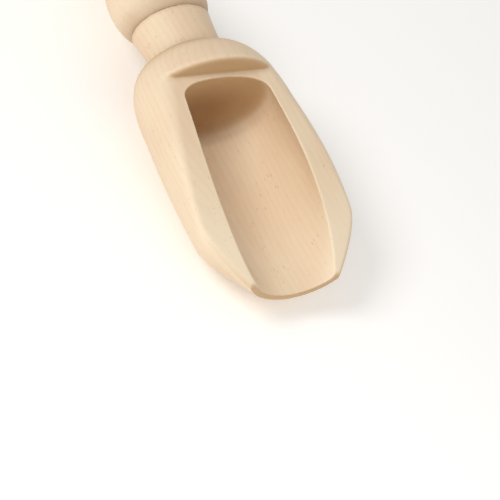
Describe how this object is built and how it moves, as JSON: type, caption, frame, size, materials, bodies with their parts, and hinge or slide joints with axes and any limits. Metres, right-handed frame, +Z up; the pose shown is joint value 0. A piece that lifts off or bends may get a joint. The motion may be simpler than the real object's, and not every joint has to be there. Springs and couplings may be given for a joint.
{
  "type": "feed scoop",
  "caption": "Turned wooden feed scoop with a bored, cut-away head and a swelling handle glued into its neck.",
  "frame": {"origin": "middle of the bounding box, on the surface that the belly of the head rests on", "axes": "+X along the turning axis from the handle to the mouth, +Z up out of the open hollow, Y across"},
  "size_m": [0.223, 0.075, 0.0528],
  "materials": {
    "head_wood": "fine sanded, dry",
    "handle_wood": "fine sanded, dry"
  },
  "bodies": {
    "root": {"scoop_head": "head_wood", "handle": "handle_wood"}
  },
  "joints": []
}
